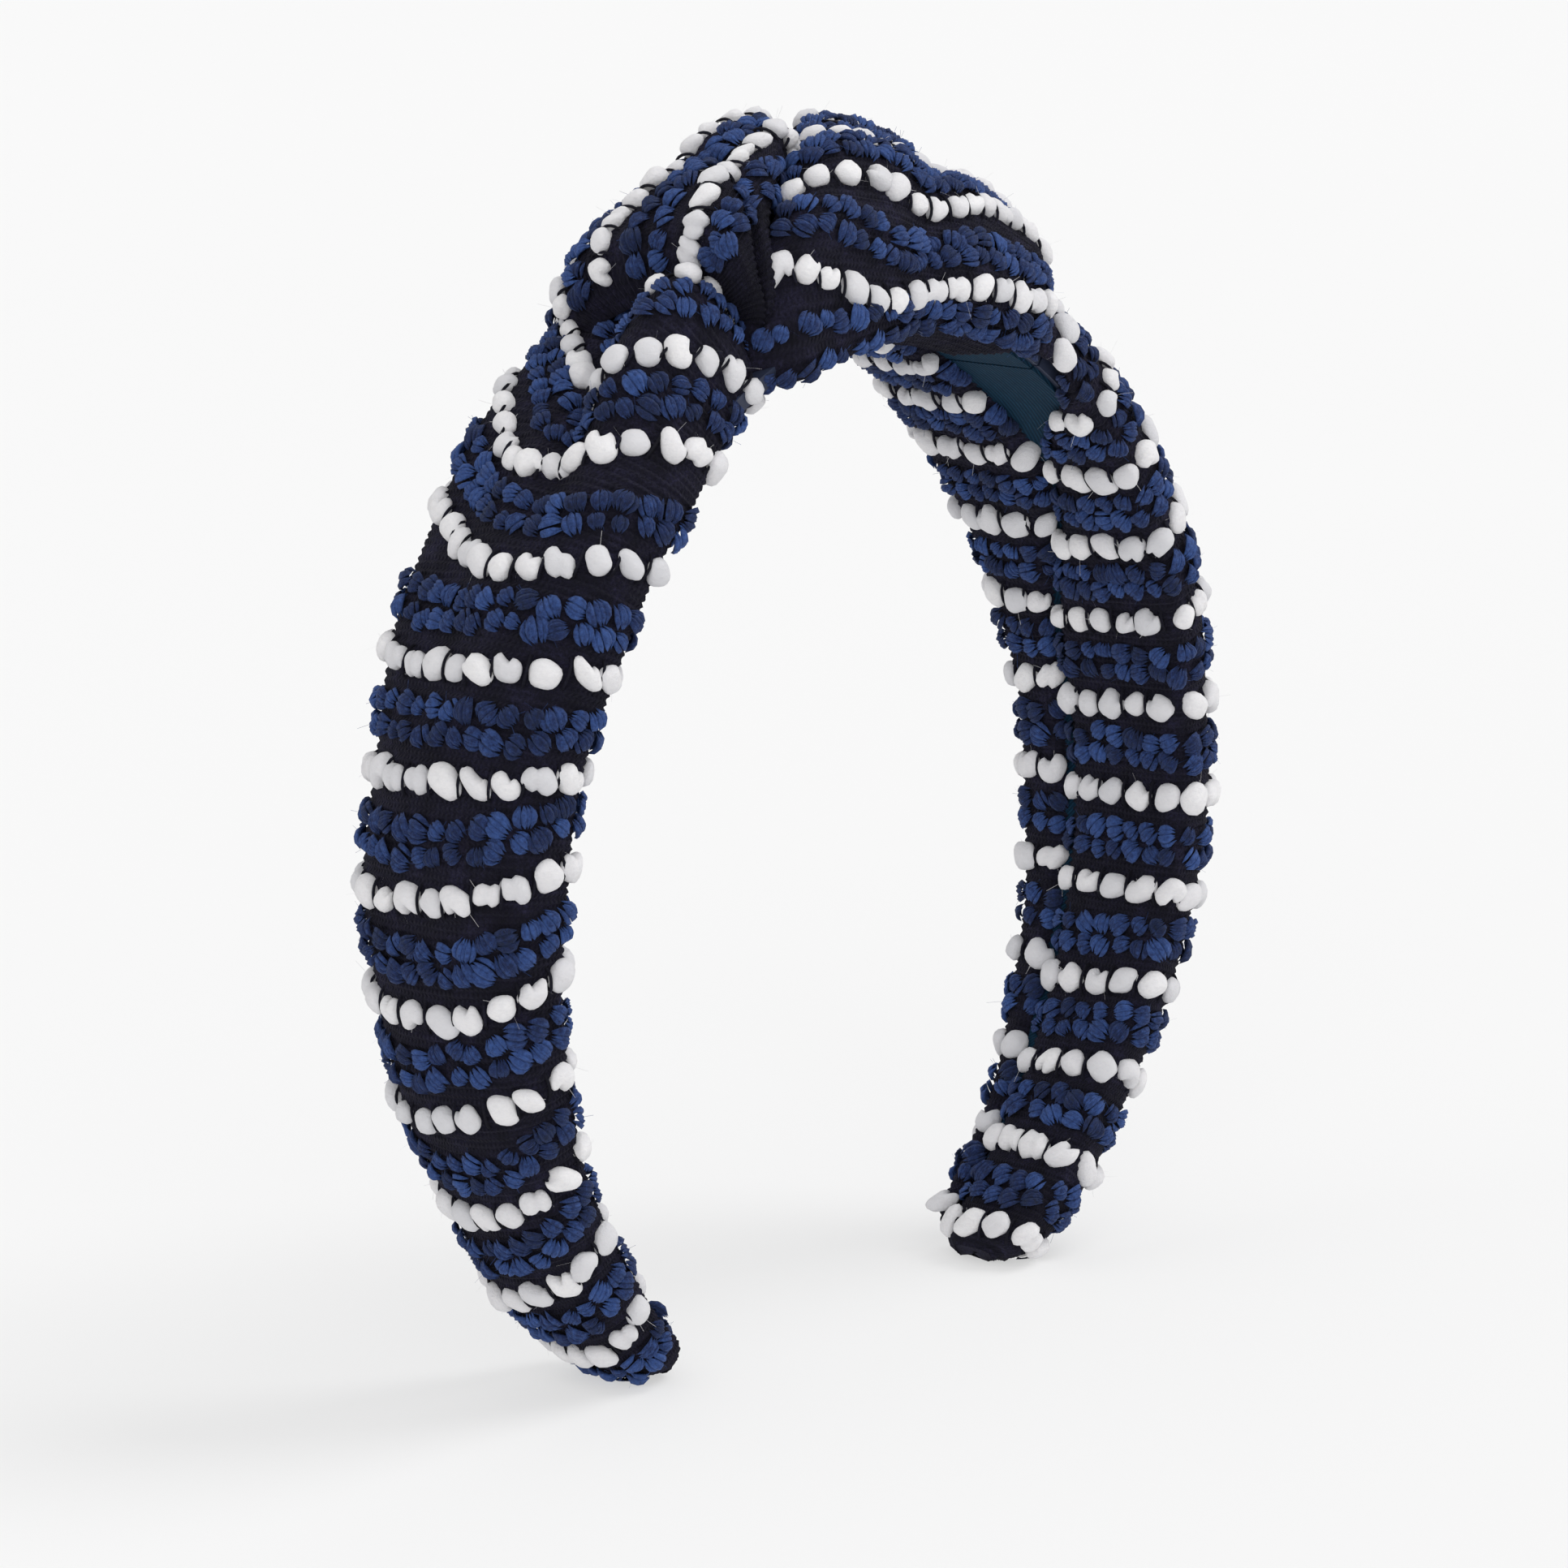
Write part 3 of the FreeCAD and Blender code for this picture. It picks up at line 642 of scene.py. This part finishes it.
def white_material():
    """Unspun white roving, felted smooth with fine fibres."""
    made, tree, shader = material("white_roving", 0.85, sheen=0.25)
    shader.inputs["Subsurface Weight"].default_value = 0.12
    shader.inputs["Subsurface Radius"].default_value = (0.0012, 0.0011, 0.0010)
    shader.inputs["Subsurface Scale"].default_value = 1.0
    fibres = noise(tree, object_space(tree, (1, 1, 1.6)), 1500, 6, 0.7)
    tint = node(tree, "ShaderNodeAttribute", attribute_name="tint").outputs["Fac"]
    blend = node(tree, "ShaderNodeMath", {0: fibres, 1: tint, 2: 0.3},
                 operation="MULTIPLY_ADD").outputs[0]
    colour = ramp(tree, blend, ((0.25, (0.66, 0.66, 0.69)), (0.6, (0.80, 0.79, 0.81)),
                                (0.85, (0.88, 0.87, 0.88))))
    tree.links.new(colour, shader.inputs["Base Color"])
    bump(tree, shader, fibres, 0.00028)
    return made


def blue_material():
    """Mid-blue slub yarn; its lightest colour stop is a painted highlight on the strands' fibres."""
    made, tree, shader = material("blue_slub", 0.7, sheen=0.2)
    shader.inputs["Sheen Tint"].default_value = (0.35, 0.5, 1.0, 1)
    fibres = noise(tree, object_space(tree, (1, 1, 1)), 1700, 6, 0.75)
    tint = node(tree, "ShaderNodeAttribute", attribute_name="tint").outputs["Fac"]
    blend = node(tree, "ShaderNodeMath", {0: tint, 1: 0.35, 2: fibres},
                 operation="MULTIPLY_ADD").outputs[0]
    # Painted highlight: the top stop is the blue of lit strand highlights, reached at random through
    # high tints and fibre noise.
    colour = ramp(tree, blend, ((0.40, (0.002, 0.004, 0.018)), (0.62, (0.009, 0.021, 0.090)),
                                (0.98, (0.05, 0.115, 0.36))))
    tree.links.new(colour, shader.inputs["Base Color"])
    bump(tree, shader, fibres, 0.0004)
    return made


def lining_material():
    """Flat dark teal ribbon with a fine twill."""
    made, tree, shader = material("lining_ribbon", 0.75)
    shader.inputs["Specular IOR Level"].default_value = 0.1
    twill = node(tree, "ShaderNodeTexWave", {"Vector": object_space(tree, (1, 1, 1)),
                                             "Scale": 900.0, "Distortion": 1.0},
                 bands_direction="DIAGONAL").outputs["Fac"]
    grain = noise(tree, object_space(tree, (1, 1, 1)), 900, 3)
    both = node(tree, "ShaderNodeMath", {0: twill, 1: grain}, operation="MULTIPLY").outputs[0]
    colour = ramp(tree, both, ((0.1, (0.004, 0.020, 0.040)), (0.6, (0.008, 0.040, 0.078))))
    tree.links.new(colour, shader.inputs["Base Color"])
    bump(tree, shader, both, 0.00015)
    return made


def foam_material():
    """Pale open-cell foam."""
    made, tree, shader = material("foam_cells", 0.9)
    cells = noise(tree, object_space(tree, (1, 1, 1)), 700, 3)
    tree.links.new(ramp(tree, cells, ((0.3, (0.55, 0.54, 0.5)), (0.7, (0.8, 0.79, 0.75)))),
                   shader.inputs["Base Color"])
    bump(tree, shader, cells, 0.0004)
    return made


def core_material():
    """Dark moulded plastic with a fine grain."""
    made, tree, shader = material("core_plastic", 0.45)
    grain = noise(tree, object_space(tree, (1, 1, 1)), 400, 2)
    tree.links.new(ramp(tree, grain, ((0.3, (0.02, 0.025, 0.05)), (0.7, (0.035, 0.045, 0.08)))),
                   shader.inputs["Base Color"])
    bump(tree, shader, grain, 0.00005)
    return made


def thread_material():
    """Plied sewing thread."""
    made, tree, shader = material("tack_thread", 0.7)
    ply = node(tree, "ShaderNodeTexWave", {"Vector": object_space(tree, (1, 1, 1)),
                                           "Scale": 1200.0}).outputs["Fac"]
    tree.links.new(ramp(tree, ply, ((0.2, (0.006, 0.007, 0.018)), (0.8, (0.02, 0.022, 0.05)))),
                   shader.inputs["Base Color"])
    bump(tree, shader, ply, 0.0001)
    return made


def paint(made, finish):
    """Gives a piece its one material, in its mesh's one slot."""
    made.data.materials.clear()
    made.data.materials.append(finish)


FINISH_OF_KIND = {"core": "core_plastic", "foam": "foam", "wadding": "foam", "lining": "lining",
                  "tack": "thread"}


def paint_frame_nodes():
    """The carried-over sub-parts, most of them inside the cloth."""
    for name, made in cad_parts.items():
        kind = name.split("_")[0]
        if kind in FINISH_OF_KIND:
            for material_slot in made.material_slots:
                material_slot.material = FINISH[FINISH_OF_KIND[kind]]


# ---------------------------------------------------------------- the cloth pieces

ROW_PITCH = 13.65
BLUE_SHIFTS = (ROW_PITCH / 2 - 1.55, ROW_PITCH / 2 + 1.55)  # a pair midway between white rows
BLUE_SPACING = 3.0
LEG_WHITE_SPACING, KNOT_WHITE_SPACING = 4.3, 4.2
TIP_MARGIN, END_MARGIN, LOBE_MARGIN = 0.6, 4, 2  # no rows nearer to an end of the cloth
LEG_COLUMNS, LOBE_COLUMNS = 120, 90
FIRST_ROW = {-1: 9.2, 1: 1.0}
ROW_COUNT = {-1: 12, 1: 13}
CROWDED_FROM, CROWDING = 125, 0.15  # the rows come closer together towards the knot
LEG_START, LEG_END = -3.2, 170.0
SIDE_NAME = {-1: "left", 1: "right"}


def follow(made):
    """Bakes a leg's piece's placement into its mesh."""
    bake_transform(made)


RIGHT_SLANT = 1.4
FRONT_LEAD, FRONT_LEAD_GAIN = 4.8, 8.0  # how far the left leg's rows climb at their front end
BACK_LEAD = 14.5
VALLEY_DIP, VALLEY_DIP_GAIN = 1.4, 0.8


def wavy(side, number, at):
    """How a row strays along its leg as it goes round; near the knot the left ones climb."""
    phase = np.random.default_rng(101 + number + 50 * (side > 0)).uniform(0, TAU, 2)

    def drift(around):
        swing = 0.5 * np.sin(TAU * around + phase[0]) + 0.3 * np.sin(2 * TAU * around + phase[1])
        if side > 0:
            return swing + RIGHT_SLANT * (around - 0.5) * 2
        near_knot = ease(at, 103, 130)
        lead = FRONT_LEAD + FRONT_LEAD_GAIN * ease(at, 110, 150)
        front = lead * (1 - ease(around, 0.05 + 0.15 * near_knot, 0.34 + 0.28 * near_knot))
        back = BACK_LEAD * ease(at, 92, 128) * ease(around, 0.55, 0.95)
        dip = (VALLEY_DIP + VALLEY_DIP_GAIN * near_knot) * hump(around, 0.48, 0.14)
        return swing + front + back - dip

    return drift


def leg(side):
    """One leg: its ground cloth, its white rows and its pairs of blue rows."""
    name = SIDE_NAME[side]
    surface = leg_surface(side)
    cover = cloth_mesh(f"{name}_leg_cloth", surface, LEG_START, LEG_END, LEG_COLUMNS)
    white = Beads(WHITE_ON_LEG, 21 + side)
    blue = Beads(BLUE_ON_LEG, 31 + side)
    white_rows = []
    for number in range(-1, ROW_COUNT[side]):
        at = FIRST_ROW[side] + ROW_PITCH * number
        at -= CROWDING * max(0, at - CROWDED_FROM)
        drift = wavy(side, number, at)
        if 0 < at < LEG_END - END_MARGIN:
            white_rows.append(white.row(surface, at, LEG_WHITE_SPACING, drift=drift))
        for shift in BLUE_SHIFTS:
            if TIP_MARGIN < at + shift < LEG_END - END_MARGIN:
                blue.row(surface, at + shift, BLUE_SPACING, drift=drift)
    pieces = {
        "cloth": (cover, [f"cloth_{name}", f"foam_{name}"]),
        "white_yarn": (white.build(f"{name}_leg_white_rows"), [f"white_rows_{name}"]),
        "blue_yarn": (blue.build(f"{name}_leg_blue_rows"), [f"blue_rows_{name}"]),
    }
    for slot_name, (made, nodes) in pieces.items():
        paint(made, FINISH[slot_name])
        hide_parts(*nodes)
        follow(made)
    follow(ties_piece(f"{name}_leg_ties", white_rows))
    cap = end_cap(f"{name}_tip_cloth", surface, LEG_START)
    paint(cap, FINISH["cloth"])
    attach(cap, f"{name}_leg")


ENDS = (0.035, 0.965)  # how much of a lobe's width its rows cover
TACK_INSET, TACK_PLACE, TACK_DEPTH = 2.5, 0.45, 0.7


def lobe(name, surface, first, drifts, nodes, white, blue):
    """One lobe of the knot: its cloth, and rows that run from its valley to its far crease.

    first is the place of its first white row, and drifts says how some rows stray."""
    made = cloth_mesh(f"knot_{name}_cloth", surface, 0, surface.length, LOBE_COLUMNS)
    white_rows = []
    for number in range(-1, 9):
        at = first + ROW_PITCH * number
        drift = drifts.get(number)
        if number >= 0 and at < surface.length - LOBE_MARGIN:
            white_rows.append(white.row(surface, at, KNOT_WHITE_SPACING, ENDS, drift))
        for shift in BLUE_SHIFTS:
            if LOBE_MARGIN < at + shift < surface.length - LOBE_MARGIN:
                blue.row(surface, at + shift, BLUE_SPACING, ENDS, drift)
    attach(ties_piece(f"knot_{name}_ties", white_rows), "crown")
    paint(made, FINISH["cloth"])
    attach(made, "crown")
    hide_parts(*nodes)


def tacks(surfaces):
    """Short stitches that hold both ends of each lobe to the band's inner face."""
    rows = []
    for surface in surfaces:
        for along in (TACK_INSET, surface.length - TACK_INSET):
            points, normal, round_it, down = surface.frame_at(np.full(2, along),
                                                              np.full(2, TACK_PLACE))
            rows.append((points - TACK_DEPTH * normal, normal, round_it, down))
    made = new_mesh("tack_threads", *ties(rows))
    paint(made, FINISH["thread"])
    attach(made, "crown")
    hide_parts("tack_stitches")


def low_stripe(share):
    """How the right lobe's lower white row strays across it."""
    sag = -2.6 * np.sin(np.pi * share)
    return sag - 1.8 * hump(share, 0.36, 0.13) + 1.5 * hump(share, 0.66, 0.12)


def high_stripe(share):
    """How the white row above it strays."""
    return -3.0 * hump(share, 0.42, 0.12) + 5 * ease(share, 0.50, 0.80)


def knot():
    """The two lobes, their rows and the stitches that hold them."""
    white = Beads(WHITE_ON_KNOT, 41)
    blue = Beads(BLUE_ON_KNOT, 42)
    right = lobe_surface(RIGHT_NEAR, RIGHT_FAR, RIGHT_BOW, 0.4, 7)
    left = lobe_surface(LEFT_NEAR, LEFT_FAR, LEFT_BOW, 0.6, 8)
    lobe("right_lobe", right, 20.0, {0: low_stripe, 1: high_stripe},
         ["cloth_loop_left", "wadding_lying", "foam_crown"], white, blue)
    lobe("left_lobe", left, 33.0, {}, ["cloth_loop_right", "wadding_crossing"], white, blue)
    tacks((right, left))
    for gathered, slot_name, nodes in ((white, "white_yarn", "white_rows_knot"),
                                       (blue, "blue_yarn", "blue_rows_knot")):
        made = gathered.build(f"knot_{slot_name}")
        paint(made, FINISH[slot_name])
        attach(made, "crown")
        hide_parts(nodes)


# ---------------------------------------------------------------- floor, light and camera

def stage():
    """A pale floor, an even white surround and two broad lights."""
    bpy.ops.mesh.primitive_plane_add(size=14, location=(0, 0, -0.0002))
    floor = bpy.context.object
    floor.name = "floor"
    made, tree, shader = material("floor", 0.9)
    speckle = noise(tree, object_space(tree, (1, 1, 1)), 2.0, 2)
    tree.links.new(ramp(tree, speckle, ((0.0, (0.35, 0.35, 0.35)), (1.0, (0.36, 0.36, 0.36)))),
                   shader.inputs["Base Color"])
    shader.inputs["Emission Color"].default_value = (1, 1, 1, 1)
    shader.inputs["Emission Strength"].default_value = 0.53
    floor.data.materials.append(made)
    world = bpy.data.worlds.new("studio")
    world.use_nodes = True
    world.node_tree.nodes["Background"].inputs["Color"].default_value = (1, 1, 1, 1)
    world.node_tree.nodes["Background"].inputs["Strength"].default_value = 0.75
    bpy.context.scene.world = world
    for name, direction, strength, angle in (("key", (-0.55, 0.35, -0.9), 1.15, 32),
                                             ("front", (0.75, 0.75, -0.45), 0.58, 45)):
        lamp = bpy.data.lights.new(name, "SUN")
        lamp.energy = strength
        lamp.angle = np.radians(angle)
        made = bpy.data.objects.new(name, lamp)
        made.rotation_euler = Vector(direction).to_track_quat("-Z", "Y").to_euler()
        bpy.context.scene.collection.objects.link(made)
    bpy.context.scene.view_settings.view_transform = "Standard"


def camera():
    """A long lens, a little above the band, turned to its front left."""
    turn, tilt, roll = np.radians(47.73), np.radians(11.95), np.radians(1.15)
    distance, target_z = 1.0830, 0.07445
    forward = Vector((np.sin(turn) * np.cos(tilt), np.cos(turn) * np.cos(tilt), -np.sin(tilt)))
    right = Vector((np.cos(turn), -np.sin(turn), 0))
    up = right.cross(forward)
    rolled_right = right * np.cos(roll) - up * np.sin(roll)
    rolled_up = right * np.sin(roll) + up * np.cos(roll)
    place = Vector((0, 0, target_z)) - forward * distance
    data = bpy.data.cameras.new("camera")
    data.sensor_width = 36
    data.lens = 182.7
    data.shift_x = -0.01275
    data.clip_end = 50
    made = bpy.data.objects.new("camera", data)
    axes = Matrix((rolled_right, rolled_up, -forward)).transposed().to_4x4()
    made.matrix_world = Matrix.Translation(place) @ axes
    bpy.context.scene.collection.objects.link(made)
    bpy.context.scene.camera = made


FINISH = {"cloth": cloth_material(), "white_yarn": white_material(), "blue_yarn": blue_material(),
          "core_plastic": core_material(), "foam": foam_material(), "lining": lining_material(),
          "thread": thread_material()}

paint_frame_nodes()
leg(-1)
leg(1)
knot()
stage()
camera()
